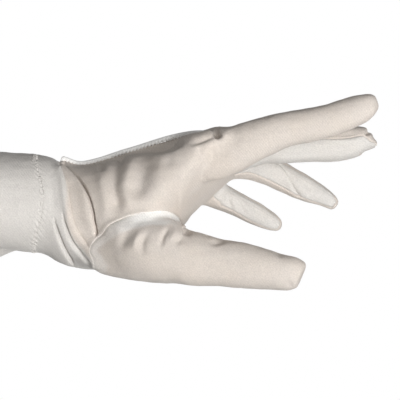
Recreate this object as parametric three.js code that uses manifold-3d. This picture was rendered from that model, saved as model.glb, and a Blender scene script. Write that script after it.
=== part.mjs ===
// A left-hand dress glove of thin stretch tricot that keeps the form of a reaching hand.
// Millimetres. X runs from the cuff's mouth to the fingertips, Z towards the back of the hand,
// and Y from the thumb's side to the little finger's side. The origin is the middle of the mouth.

import * as THREE from 'three';
import { mergeVertices } from 'three/addons/utils/BufferGeometryUtils.js';
import Module from 'manifold-3d';

const wasm = await Module();
wasm.setup();

// Cloth thicknesses and the gap left between two pieces at a seam.
const wall = 1.3;
const hemWall = 2.2;
const hemRise = 0.5;
const seamGap = 0.35;

// The raised tuck on the back.
const tuckHeight = 1.5;
const tuckWidth = 1.7;
const tuckStartX = 37;
const tuckEndX = 114;
const tuckFacets = { along: 22, corner: 3 };
const tuckRowShare = 0.25;

// How far past the mouth the hollow is cut, and how far past the glove a cutter reaches.
const mouthReach = 6;
const cutterReach = 90;

// Facets: around the hand's hollow, fewer than outside around the other hollows, and along the seams.
const hollowAround = 24;
const fewerAroundHollow = 4;
const hemLineFacets = 14;
const thumbSeamFacets = 26;

// Two points closer than weldDistance are one point of a closed body. A unit cylinder's rim points
// lie outside rimRadius and the middles of its caps inside. A hollow is never thinner than thinnest,
// nor cut back from its limb's tip by more than this share of the last row's length.
const weldDistance = 1e-4;
const rimRadius = 0.5;
const thinnest = 0.3;
const mostCutBack = 0.9;

// Every limb is an oval carried along its rows. The columns are the centre (x, y, z), half the width
// across the hand, half the depth from palm to back, and the roll that lifts the thumb's side (degrees).
const hand = {
  upright: true,
  squareness: 2.2,
  around: 28,
  ringsPerRow: 2,
  rows: [
    { x: 0, y: 2, z: -0.3, wide: 31, deep: 25.2, roll: 0 },
    { x: 14, y: 2, z: -1.4, wide: 30, deep: 25.6, roll: 0 },
    { x: 27, y: 2, z: -2.8, wide: 29.3, deep: 26.2, roll: 0 },
    { x: 36, y: 2, z: -6.2, wide: 29.3, deep: 26.4, roll: 0 },
    { x: 46, y: 2, z: -8.8, wide: 30.5, deep: 26.6, roll: 0 },
    { x: 56, y: 2, z: -9.1, wide: 33, deep: 27.4, roll: 4 },
    { x: 67, y: 2, z: -6.5, wide: 36, deep: 28.8, roll: 8 },
    { x: 80, y: 1.5, z: -2, wide: 38, deep: 27, roll: 13 },
    { x: 95, y: 1, z: 7.1, wide: 40, deep: 22.7, roll: 15 },
    { x: 108, y: 0, z: 15, wide: 40, deep: 17, roll: 17 },
    { x: 120, y: -2, z: 19.6, wide: 37, deep: 14.8, roll: 18 },
    { x: 130, y: -9, z: 23, wide: 27, deep: 11.5, roll: 16 },
    { x: 134.5, y: -13, z: 25, wide: 17, deep: 6.5, roll: 12 },
  ],
};

const fingerShape = { upright: false, squareness: 2.2, around: 16, ringsPerRow: 1 };

const fingers = {
  index: {
    ...fingerShape,
    rows: [
      { x: 104, y: -19, z: 18, wide: 9, deep: 9, roll: 0 },
      { x: 116, y: -23.5, z: 21, wide: 10.3, deep: 11.4, roll: 0 },
      { x: 127, y: -26, z: 25.8, wide: 10.6, deep: 12.2, roll: 0 },
      { x: 141, y: -28, z: 31.6, wide: 10.2, deep: 10.6, roll: 0 },
      { x: 155, y: -29, z: 36.4, wide: 9.8, deep: 9.1, roll: 0 },
      { x: 167, y: -29.5, z: 38.6, wide: 9.6, deep: 9, roll: 0 },
      { x: 178, y: -30, z: 41.2, wide: 9.3, deep: 8.6, roll: 0 },
      { x: 188.5, y: -30.3, z: 44.7, wide: 8.8, deep: 8.2, roll: 0 },
      { x: 196, y: -30.5, z: 47.8, wide: 7.8, deep: 7.3, roll: 0 },
      { x: 201, y: -30.5, z: 50.2, wide: 5.8, deep: 5.3, roll: 0 },
      { x: 203.8, y: -30.5, z: 51.4, wide: 2.6, deep: 2.4, roll: 0 },
    ],
  },
  middle: {
    ...fingerShape,
    rows: [
      { x: 108, y: -6, z: 19, wide: 10, deep: 12, roll: 0 },
      { x: 128, y: -7.5, z: 25, wide: 10.3, deep: 11.5, roll: 0 },
      { x: 143, y: -8, z: 28, wide: 9.8, deep: 9.8, roll: 0 },
      { x: 157, y: -8, z: 28.8, wide: 9.5, deep: 9.6, roll: 0 },
      { x: 171, y: -8, z: 29.2, wide: 9.3, deep: 9.2, roll: 0 },
      { x: 182, y: -8, z: 29.1, wide: 9, deep: 9, roll: 0 },
      { x: 190, y: -8, z: 30, wide: 8.2, deep: 8.2, roll: 0 },
      { x: 196, y: -8, z: 31, wide: 7, deep: 7, roll: 0 },
      { x: 200.5, y: -8, z: 30.6, wide: 5, deep: 4.6, roll: 0 },
      { x: 204, y: -8, z: 29.5, wide: 2.2, deep: 1.8, roll: 0 },
    ],
  },
  ring: {
    ...fingerShape,
    rows: [
      { x: 104, y: 11, z: 16, wide: 9.8, deep: 11, roll: 0 },
      { x: 122, y: 11.5, z: 19.5, wide: 9.6, deep: 10, roll: 0 },
      { x: 134, y: 12, z: 19.2, wide: 9.4, deep: 8.7, roll: 0 },
      { x: 145, y: 12.3, z: 15.9, wide: 9.1, deep: 8.1, roll: 0 },
      { x: 157.5, y: 12.6, z: 10, wide: 8.7, deep: 7.4, roll: 0 },
      { x: 168.5, y: 12.8, z: 4.6, wide: 8, deep: 6.3, roll: 0 },
      { x: 176.5, y: 13, z: 1, wide: 6.6, deep: 4.7, roll: 0 },
      { x: 180.5, y: 13, z: -1.8, wide: 4.5, deep: 3, roll: 0 },
      { x: 182.5, y: 13, z: -3.4, wide: 2.2, deep: 1.6, roll: 0 },
    ],
  },
  little: {
    ...fingerShape,
    rows: [
      { x: 96, y: 26, z: 8, wide: 8.6, deep: 9, roll: 0 },
      { x: 112, y: 28.5, z: 5, wide: 8.8, deep: 8.4, roll: 0 },
      { x: 122, y: 29.5, z: 1, wide: 8.5, deep: 7, roll: 0 },
      { x: 131, y: 30, z: -3.4, wide: 8.2, deep: 6.3, roll: 0 },
      { x: 139, y: 30.4, z: -7.4, wide: 7.8, deep: 6.1, roll: 0 },
      { x: 147, y: 30.8, z: -11.4, wide: 7, deep: 5.2, roll: 0 },
      { x: 151.5, y: 31, z: -13.6, wide: 5.2, deep: 3.6, roll: 0 },
      { x: 153.8, y: 31, z: -15, wide: 2.6, deep: 1.8, roll: 0 },
    ],
  },
};

const thumb = {
  upright: false,
  squareness: 2.3,
  around: 20,
  ringsPerRow: 1,
  rows: [
    { x: 46, y: -15, z: -20, wide: 8, deep: 8, roll: 0 },
    { x: 59, y: -18.5, z: -24, wide: 15.5, deep: 15.2, roll: 0 },
    { x: 72, y: -23, z: -25, wide: 18, deep: 17.2, roll: 0 },
    { x: 86, y: -27.8, z: -26.2, wide: 18.4, deep: 17.8, roll: 0 },
    { x: 97, y: -31.6, z: -28.2, wide: 17, deep: 16.8, roll: 0 },
    { x: 103.5, y: -33.8, z: -30.6, wide: 15.6, deep: 14.6, roll: 0 },
    { x: 109, y: -35.4, z: -31.6, wide: 14.6, deep: 14, roll: 0 },
    { x: 121, y: -38, z: -33.4, wide: 13, deep: 12.5, roll: 0 },
    { x: 133, y: -41, z: -34.8, wide: 12, deep: 11.7, roll: 0 },
    { x: 143, y: -43, z: -36.3, wide: 11.3, deep: 10.8, roll: 0 },
    { x: 152, y: -44.5, z: -38, wide: 10.5, deep: 9.6, roll: 0 },
    { x: 160, y: -45.5, z: -39.4, wide: 9.2, deep: 8.9, roll: 0 },
    { x: 163.6, y: -46, z: -40.4, wide: 6.4, deep: 7.2, roll: 0 },
  ],
};

// Folds on the thumb's side, seen along Y: each follows a path of (x, z) points.
// Columns: depth (inwards is negative) and half-width. They fade out at the hand's edges, and are
// whole where the cosine of the angle from the thumb's side is more than foldWhole.
const folds = [
  { path: [[37, 21], [47, 10.5], [53.6, -4], [55.5, -20]], depth: -2, width: 2.6 },
  { path: [[34.5, 20], [39.6, 9.5], [41.8, -5.6], [46, -20.6], [51, -31]], depth: 1.2, width: 2.8 },
  { path: [[35.9, -14.7], [40.2, -29], [44, -36]], depth: -1.4, width: 2 },
  { path: [[59, 23], [56, 15], [56, 2], [59, -5]], depth: -1, width: 2.6 },
  { path: [[66, 24], [63, 14], [63, 2]], depth: 0.9, width: 2.6 },
  { path: [[74, 27], [72, 16], [72.5, 2]], depth: -0.8, width: 2.4 },
  { path: [[80, 30], [100, 33], [112, 33]], depth: -1.6, width: 3.2 },
];
const foldWhole = 0.5;

// The far lower corner of the mouth flares outwards.
const flare = { length: 16, rise: 6, angle: 5.13, spread: 0.42, sharpness: 1.5 };

// The zigzag stitching where the hem ends, and the oval seam of the thumb, as (x, z) points.
const hemLine = [[22.5, 40], [23.5, 22], [27.3, 8.4], [28.3, 0], [26.7, -11], [23, -24], [21, -45]];
const thumbSeam = [
  [55.7, -39], [53.3, -31.4], [52.8, -27], [55.8, -20.3], [62.7, -14.3], [72.8, -8.7],
  [88.9, -6.4], [98.9, -8.9], [101.6, -14.9], [103.2, -18],
];
const thumbSeamDepth = -8;
const thumbMiddle = new THREE.Vector2(95, -34);
const thumbBeyond = [[128, -14], [176, -14], [176, -62], [56, -62]];

// A forked side strip lies on the facing sides of two fingers: which share of a finger's width and
// depth it takes, and the round patch at the crotch that joins its two arms.
const strip = { centre: 0.95, width: 0.42, depth: 0.66, squareness: 5, steps: 5, around: 8 };
const patch = { length: 7, width: 5.5, around: 12, rings: 8 };
const forks = [
  { name: 'fourchette_index_middle', near: 'index', far: 'middle', x: 133, y: -17.5, z: 27, rise: 9 },
  { name: 'fourchette_middle_ring', near: 'middle', far: 'ring', x: 130, y: 2, z: 22.5, rise: 9.5 },
  { name: 'fourchette_ring_little', near: 'ring', far: 'little', x: 122, y: 20.7, z: 9.5, rise: 10.5 },
];

const materials = {
  tricot: new THREE.MeshStandardMaterial({ color: 0xd6cdc4, roughness: 0.82, metalness: 0 }),
  sideStrip: new THREE.MeshStandardMaterial({ color: 0xe4e1dc, roughness: 0.8, metalness: 0 }),
  hem: new THREE.MeshStandardMaterial({ color: 0xdedbd5, roughness: 0.82, metalness: 0 }),
};

// A value of a row's column between rows, on a smooth curve through the rows.
function columnAt(rows, column, place) {
  const last = rows.length - 1;
  const index = Math.min(Math.floor(place), last - 1);
  const share = place - index;
  const value = (i) => rows[Math.min(Math.max(i, 0), last)][column];
  const [a, b, c, d] = [value(index - 1), value(index), value(index + 1), value(index + 2)];
  const slopeIn = (c - a) / 2;
  const slopeOut = (d - b) / 2;
  const square = share * share;
  const cube = square * share;
  return (2 * cube - 3 * square + 1) * b + (cube - 2 * square + share) * slopeIn
    + (3 * square - 2 * cube) * c + (cube - square) * slopeOut;
}

function centreAt(rows, place) {
  return new THREE.Vector3(...['x', 'y', 'z'].map((column) => columnAt(rows, column, place)));
}

// The directions of a limb's section at a place: out to the little finger's side, and up to the back.
function sectionAxes(limb, place) {
  const last = limb.rows.length - 1;
  const step = 0.05;
  const along = limb.upright
    ? new THREE.Vector3(1, 0, 0)
    : centreAt(limb.rows, Math.min(place + step, last)).sub(centreAt(limb.rows, Math.max(place - step, 0)));
  along.normalize();
  const side = new THREE.Vector3(0, 1, 0).addScaledVector(along, -along.y).normalize();
  const up = new THREE.Vector3().crossVectors(along, side);
  const roll = THREE.MathUtils.degToRad(columnAt(limb.rows, 'roll', place));
  side.applyAxisAngle(along, -roll);
  up.applyAxisAngle(along, -roll);
  return { side, up };
}

// A point on a limb's oval, pushed in by inset. Angle 0 faces the little finger's side.
function limbPoint(limb, place, angle, inset) {
  const { side, up } = sectionAxes(limb, place);
  const power = 2 / limb.squareness;
  const across = Math.sign(Math.cos(angle)) * Math.abs(Math.cos(angle)) ** power;
  const over = Math.sign(Math.sin(angle)) * Math.abs(Math.sin(angle)) ** power;
  const wide = Math.max(columnAt(limb.rows, 'wide', place) - inset, thinnest);
  const deep = Math.max(columnAt(limb.rows, 'deep', place) - inset, thinnest);
  return centreAt(limb.rows, place)
    .addScaledVector(side, across * wide)
    .addScaledVector(up, over * deep);
}

function distanceToPath(x, z, path) {
  let nearest = Infinity;
  for (let i = 0; i + 1 < path.length; i += 1) {
    const [[x0, z0], [x1, z1]] = [path[i], path[i + 1]];
    const lengthSquared = (x1 - x0) ** 2 + (z1 - z0) ** 2;
    const share = ((x - x0) * (x1 - x0) + (z - z0) * (z1 - z0)) / lengthSquared;
    const held = THREE.MathUtils.clamp(share, 0, 1);
    nearest = Math.min(nearest, Math.hypot(x - x0 - held * (x1 - x0), z - z0 - held * (z1 - z0)));
  }
  return nearest;
}

// How far the cloth of the hand stands out of its plain oval at a point.
function clothRise(point, angle) {
  const facing = THREE.MathUtils.smoothstep(-Math.cos(angle), 0, foldWhole);
  let rise = 0;
  for (const fold of folds) {
    const away = distanceToPath(point.x, point.z, fold.path) / fold.width;
    rise += fold.depth * facing * Math.exp(-(away ** 2));
  }
  const mouthShare = THREE.MathUtils.clamp(1 - point.x / flare.length, 0, 1);
  const aside = (angle - flare.angle) / flare.spread;
  rise += flare.rise * mouthShare ** flare.sharpness * Math.exp(-(aside ** 2));
  return rise;
}

// The angle of a cylinder's vertex, the same for the two copies of a vertex on the cylinder's seam.
function rimAngle(position, i, around) {
  const turn = (2 * Math.PI) / around;
  const slot = Math.round(Math.atan2(position.getX(i), position.getZ(i)) / turn);
  return ((slot + around) % around) * turn;
}

// A closed body for a limb: a capped cylinder whose rings are laid on the limb's ovals.
// With an inset it is the limb's hollow, which also ends short of the tip.
function limbGeometry(limb, inset = 0, around = limb.around, ringsPerRow = limb.ringsPerRow) {
  const last = limb.rows.length - 1;
  const lastGap = limb.rows[last].x - limb.rows[last - 1].x;
  const end = last - THREE.MathUtils.clamp(inset / lastGap, 0, mostCutBack);
  const geometry = new THREE.CylinderGeometry(1, 1, 1, around, last * ringsPerRow);
  const position = geometry.attributes.position;
  for (let i = 0; i < position.count; i += 1) {
    const place = (position.getY(i) + 0.5) * end;
    const angle = rimAngle(position, i, around);
    const isRim = Math.hypot(position.getX(i), position.getZ(i)) > rimRadius;
    const point = isRim ? limbPoint(limb, place, angle, inset) : centreAt(limb.rows, place);
    if (isRim && limb === hand) {
      const outwards = point.clone().sub(centreAt(limb.rows, place)).setX(0).normalize();
      point.addScaledVector(outwards, clothRise(point, angle));
    }
    position.setXYZ(i, point.x, point.y, point.z);
  }
  return geometry;
}

// Booleans on closed bodies.
function solidFrom(geometry) {
  geometry.deleteAttribute('normal');
  geometry.deleteAttribute('uv');
  const merged = mergeVertices(geometry, weldDistance);
  return new wasm.Manifold(new wasm.Mesh({
    numProp: 3,
    vertProperties: new Float32Array(merged.attributes.position.array),
    triVerts: new Uint32Array(merged.index.array),
  }));
}

function join(solids) {
  return solids.reduce((whole, solid) => whole.add(solid));
}

// The biggest separate body of a cut, without the crumbs that a cut can leave.
function mainBody(solid) {
  return solid.decompose().reduce((biggest, body) => (body.volume() > biggest.volume() ? body : biggest));
}

function pieceFrom(name, solid, material) {
  const mesh = solid.getMesh();
  const geometry = new THREE.BufferGeometry();
  geometry.setAttribute('position', new THREE.BufferAttribute(mesh.vertProperties, mesh.numProp));
  geometry.setIndex(new THREE.BufferAttribute(mesh.triVerts, 1));
  geometry.computeVertexNormals();
  const piece = new THREE.Mesh(geometry, material);
  piece.name = name;
  return piece;
}

// A prism along Y from an outline of (x, z) points, between two depths.
function prism(outline, fromY, toY) {
  const shape = new THREE.Shape(outline.map(([x, z]) => new THREE.Vector2(x, z)));
  const geometry = new THREE.ExtrudeGeometry(shape, { depth: toY - fromY, bevelEnabled: false });
  geometry.rotateX(Math.PI / 2);
  geometry.translate(0, toY, 0);
  return solidFrom(geometry);
}

function smoothPath(points, steps) {
  const curve = new THREE.CatmullRomCurve3(points.map(([x, z]) => new THREE.Vector3(x, 0, z)));
  return curve.getPoints(steps).map((point) => [point.x, point.z]);
}

// The region of the hem: everything on the mouth's side of the zigzag line, moved on by shift.
function hemRegion(shift) {
  const line = smoothPath(hemLine, hemLineFacets).map(([x, z]) => [x + shift, z]).reverse();
  const [[, bottom], [, top]] = [line[0], line[line.length - 1]];
  const outside = -mouthReach * 2;
  return prism([[outside, top], [outside, bottom], ...line], -cutterReach, cutterReach);
}

// The region of the thumb piece, grown outwards over its seam by grow.
function thumbRegion(grow) {
  const outline = [...smoothPath(thumbSeam, thumbSeamFacets), ...thumbBeyond];
  const grown = outline.map(([x, z]) => {
    const away = new THREE.Vector2(x, z).sub(thumbMiddle);
    away.setLength(away.length() + grow);
    return [thumbMiddle.x + away.x, thumbMiddle.y + away.y];
  });
  return prism(grown, -cutterReach, thumbSeamDepth + grow);
}

// The place along a limb where its centre passes a given x.
function placeAtX(rows, x) {
  const after = rows.findIndex((row) => row.x > x);
  return after - 1 + (x - rows[after - 1].x) / (rows[after].x - rows[after - 1].x);
}

// A finger from a given x to near its tip, narrowed and moved to one side, that cuts out a side strip.
function stripLimb(finger, direction, startX, grow) {
  const from = placeAtX(finger.rows, startX);
  const to = finger.rows.length - 2;
  const rows = [];
  for (let i = 0; i <= strip.steps; i += 1) {
    const place = from + ((to - from) * i) / strip.steps;
    const centre = centreAt(finger.rows, place);
    const wide = columnAt(finger.rows, 'wide', place);
    rows.push({
      x: centre.x,
      y: centre.y + direction * strip.centre * wide,
      z: centre.z,
      wide: strip.width * wide + grow,
      deep: strip.depth * columnAt(finger.rows, 'deep', place) + grow,
      roll: 0,
    });
  }
  return { ...finger, squareness: strip.squareness, around: strip.around, rows };
}

function forkRegion(fork, grow) {
  const onNear = stripLimb(fingers[fork.near], 1, fork.x - grow, grow);
  const onFar = stripLimb(fingers[fork.far], -1, fork.x - grow, grow);
  const atCrotch = new THREE.SphereGeometry(1, patch.around, patch.rings);
  atCrotch.rotateX(Math.PI / 2);
  atCrotch.scale(patch.length + grow, patch.width + grow, fork.rise + grow);
  atCrotch.translate(fork.x, fork.y, fork.z);
  return join([onNear, onFar].map((limb) => solidFrom(limbGeometry(limb))).concat(solidFrom(atCrotch)));
}

// The whole glove as one hollow wall.
function gloveWall() {
  const limbs = [...Object.values(fingers), thumb];
  const outside = join([hand, ...limbs].map((limb) => solidFrom(limbGeometry(limb))));
  const hollows = limbs.map((limb) => limbGeometry(limb, wall, limb.around - fewerAroundHollow, 1));
  return outside.subtract(join([handHollow(wall), ...hollows.map(solidFrom)]));
}

// The hollow of the hand, run out past the mouth.
function handHollow(inset) {
  const inside = solidFrom(limbGeometry(hand, inset, hollowAround, 1));
  return inside.add(solidFrom(mouthGeometry(inset)));
}

// A short plug through the mouth, from outside the glove to just inside, with the mouth's own outline.
function mouthGeometry(inset) {
  const geometry = new THREE.CylinderGeometry(1, 1, 1, hollowAround);
  const position = geometry.attributes.position;
  for (let i = 0; i < position.count; i += 1) {
    const x = position.getY(i) * mouthReach;
    const angle = rimAngle(position, i, hollowAround);
    const isRim = Math.hypot(position.getX(i), position.getZ(i)) > rimRadius;
    const centre = centreAt(hand.rows, 0);
    const point = isRim ? limbPoint(hand, 0, angle, inset) : centre.clone();
    if (isRim) {
      const outwards = point.clone().sub(centre).setX(0).normalize();
      point.addScaledVector(outwards, clothRise(point, angle));
    }
    position.setXYZ(i, x, point.y, point.z);
  }
  return geometry;
}

// The deep hem, two layers thick, standing a little proud of the single cloth.
function cuffHem() {
  const outside = solidFrom(limbGeometry(hand, -hemRise));
  return outside.subtract(handHollow(hemWall - hemRise)).intersect(hemRegion(-seamGap));
}

// The tuck: a narrow rib that follows the highest line of the hand's back.
function backTuck() {
  const last = hand.rows.length - 1;
  const path = [];
  for (let place = 0; place <= last; place += tuckRowShare) {
    const { side, up } = sectionAxes(hand, place);
    const wide = columnAt(hand.rows, 'wide', place);
    const deep = columnAt(hand.rows, 'deep', place);
    const point = limbPoint(hand, place, Math.atan2(deep * up.z, wide * side.z), 0);
    if (point.x >= tuckStartX && point.x <= tuckEndX) {
      path.push(point.setZ(point.z + seamGap + tuckHeight / 2));
    }
  }
  const section = new THREE.Shape()
    .absellipse(0, 0, tuckHeight / 2, tuckWidth / 2, 0, Math.PI * 2);
  return solidFrom(new THREE.ExtrudeGeometry(section, {
    extrudePath: new THREE.CatmullRomCurve3(path),
    steps: tuckFacets.along,
    curveSegments: tuckFacets.corner,
    bevelEnabled: false,
  }));
}

const glove = new THREE.Group();
const wallOfGlove = gloveWall();
const taken = join([hemRegion(0), thumbRegion(seamGap), ...forks.map((fork) => forkRegion(fork, seamGap))]);

glove.add(pieceFrom('trank', mainBody(wallOfGlove.subtract(taken)), materials.tricot));
glove.add(pieceFrom('thumb_piece', mainBody(wallOfGlove.intersect(thumbRegion(0))), materials.tricot));
for (const fork of forks) {
  glove.add(pieceFrom(fork.name, mainBody(wallOfGlove.intersect(forkRegion(fork, 0))), materials.sideStrip));
}
glove.add(pieceFrom('cuff_hem', mainBody(cuffHem()), materials.hem));
glove.add(pieceFrom('back_tuck', backTuck(), materials.hem));

export default glove;
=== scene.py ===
# A left-hand dress glove of thin ivory stretch tricot that keeps the form of a reaching hand.
# Shapes are worked out in millimetres, in the CAD frame: X to the fingertips, Z to the back of the
# hand, Y to the little finger's side. Objects are made in metres.
import math

import bpy
import numpy as np
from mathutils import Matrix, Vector
from mathutils.bvhtree import BVHTree


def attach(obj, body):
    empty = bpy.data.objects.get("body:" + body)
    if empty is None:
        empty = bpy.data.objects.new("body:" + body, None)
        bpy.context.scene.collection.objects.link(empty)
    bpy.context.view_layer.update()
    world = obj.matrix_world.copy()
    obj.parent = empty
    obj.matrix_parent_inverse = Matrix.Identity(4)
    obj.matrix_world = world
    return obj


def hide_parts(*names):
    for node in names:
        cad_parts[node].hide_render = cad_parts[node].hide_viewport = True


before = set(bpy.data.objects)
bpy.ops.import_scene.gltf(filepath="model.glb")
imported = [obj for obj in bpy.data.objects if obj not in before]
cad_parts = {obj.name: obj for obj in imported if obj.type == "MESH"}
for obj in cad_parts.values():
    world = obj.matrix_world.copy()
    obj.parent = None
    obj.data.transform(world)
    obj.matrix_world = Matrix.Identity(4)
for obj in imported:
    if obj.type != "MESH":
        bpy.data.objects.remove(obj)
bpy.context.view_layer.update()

MM = 0.001

# The skin's fineness, the cloth's thicknesses, and how far the hem stands above the cloth beside it.
VOXEL = 1.25
WALL = 1.2
HEM_WALL = 2.0
HEM_RISE = 0.35

# The limbs' fineness, and the share of its triangles that the cloth's unseen inner side keeps.
POINTS_AROUND = {"hand": 120, "thumb": 72}
POINTS_AROUND_FINGER = 56
RINGS_PER_ROW = 14
INNER_SHARE = 0.08

# How often the skin is smoothed: all over, between the limbs, and at the thumb's base. The last two
# fade out with the reach to the second nearest limb, in its own half-widths, and the last along x too.
SMOOTH_ALL = 5
SMOOTH_BETWEEN = 26
SMOOTH_THUMB_BASE = 130
BETWEEN_FADES = (1.04, 1.3)
THUMB_BASE_FADES = {"reach": (1.2, 1.7), "x": (84, 99)}

# Stitches: the hem's zigzag, the tuck's overcast edge and the small stitches in the seams. A zigzag
# stitch's lifts are in its own radius, and a seam stitch's slant is its way along the seam for each
# millimetre across it.
ZIGZAG = {"period": 3.3, "reach": 1.75, "radius": 0.22, "inset": 0.04, "lifts": (-0.7, 0.6, 0.9, 0.6, -0.7)}
OVERCAST = {"period": 1.9, "lean": 0.4, "radius": 0.08, "after_start": 1.6, "before_end": 3.5}
SEAM_STITCH = {"period": 1.7, "reach": 0.36, "radius": 0.055, "slant": 0.5, "lifts": (0.0, 0.08, 0.0)}

# Limb rows: centre x, y, z, half-width, half-depth and, for the hand, roll, close to the CAD's own. The
# hand's first row lies a little outside the mouth, so that the mouth can be cut clean, and the
# fingertips are a little longer, because smoothing draws them in.
X, Y, Z, WIDE, DEEP, ROLL = range(6)
HAND_ROWS = [
    (-5, 2, -0.1, 31.2, 25.1, 0),
    (0, 2, -0.3, 31, 25.2, 0),
    (14, 2, -1.4, 30, 25.6, 0),
    (27, 2, -2.8, 29.3, 26.2, 0),
    (36, 2, -6.7, 29.3, 27, 0),
    (46, 2, -9.4, 30.5, 27.3, 0),
    (56, 2, -9.5, 33, 28, 4),
    (67, 2, -6.5, 36, 28.8, 8),
    (80, 1.5, -2, 38, 27, 13),
    (95, 1, 7.1, 40, 22.7, 15),
    (100, 0.6, 8.6, 40, 23, 16),
    (104, 0.3, 11.8, 40, 20.2, 16.5),
    (108, 0, 14.6, 40, 17.7, 17),
    (120, -2, 21.3, 37, 12.6, 18),
    (130, -9, 25, 27, 9, 16),
    (134.5, -13, 26, 17, 5.5, 12),
]
FINGER_ROWS = {
    "index": [
        (104, -19, 18, 9, 9),
        (116, -23.5, 21, 10.3, 11.4),
        (127, -26, 25.8, 10.6, 12.2),
        (141, -28, 31.6, 10.2, 10.6),
        (155, -29, 36.4, 9.8, 9.1),
        (167, -29.5, 38.6, 9.6, 9),
        (178, -30, 41.2, 9.3, 8.6),
        (188.5, -30.3, 44.7, 8.8, 8.2),
        (196, -30.5, 47.8, 7.8, 7.3),
        (200.8, -30.5, 50.2, 6, 5.5),
        (203.6, -30.5, 51.2, 3.2, 3.2),
    ],
    "middle": [
        (108, -6, 19, 10, 12),
        (128, -7.5, 25, 10.3, 11.5),
        (143, -8, 28, 9.8, 9.8),
        (157, -8, 28.6, 9.5, 9.8),
        (171, -8, 29, 9.3, 9.4),
        (182, -8, 29, 9.1, 9.2),
        (190, -8, 30, 8.6, 8.6),
        (195.5, -8, 31.3, 7.8, 7.3),
        (198.2, -8, 30.4, 7, 5.4),
        (199.4, -8, 29.6, 6.4, 4.4),
        (202, -8, 29.3, 5, 2.7),
        (204.8, -8, 29, 3, 1.6),
    ],
    "ring": [
        (104, 11, 16, 9.8, 11),
        (122, 11.5, 19.5, 9.6, 10),
        (134, 12, 19.2, 9.4, 8.7),
        (145, 12.3, 15.9, 9.1, 8.1),
        (157.5, 12.6, 10, 8.7, 7.4),
        (168.5, 12.8, 4.6, 8, 6.3),
        (176.5, 13, 1, 6.6, 4.7),
        (180.5, 13, -1.8, 4.8, 3.6),
        (182.9, 13, -3.8, 2.8, 2.2),
    ],
    "little": [
        (96, 26, 8, 8.6, 9),
        (112, 28.5, 5, 8.8, 8.4),
        (122, 29.5, 1, 8.5, 7),
        (131, 30, -3.4, 8.2, 6.3),
        (139, 30.4, -7.4, 7.8, 6.1),
        (147, 30.8, -11.4, 7, 5.2),
        (151.5, 31, -13.6, 5.4, 4),
        (154.3, 31, -15, 2.8, 2.2),
    ],
}
THUMB_ROWS = [
    (46, -15, -20, 8, 8),
    (59, -18.5, -24, 15.5, 15.2),
    (72, -23, -25, 18, 17.2),
    (86, -27.8, -26.2, 18.4, 17.8),
    (97, -31.6, -28.7, 17, 16.2),
    (103.5, -33.8, -30.7, 15.6, 14.3),
    (109, -35.4, -31.7, 14.6, 14.1),
    (121, -38, -33.4, 13, 12.4),
    (133, -41, -34.7, 12, 12),
    (143, -43, -36.3, 11.3, 10.8),
    (152, -44.5, -38, 10.5, 9.6),
    (159.2, -45.5, -39, 9.2, 8.9),
    (163.3, -46, -40.7, 6.2, 6.9),
]


def limb(rows, upright=False, squareness=2.2):
    """A limb's rows and its ovals' form. Only the hand's rows have a roll: the others get none."""
    full_rows = [(*row, 0)[: ROLL + 1] for row in rows]
    return {"rows": np.array(full_rows, float), "upright": upright, "squareness": squareness}


HAND = limb(HAND_ROWS, upright=True)
THUMB = limb(THUMB_ROWS, squareness=2.3)
FINGERS = {name: limb(rows) for name, rows in FINGER_ROWS.items()}
LIMBS = {"hand": HAND, "thumb": THUMB, **FINGERS}

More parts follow.
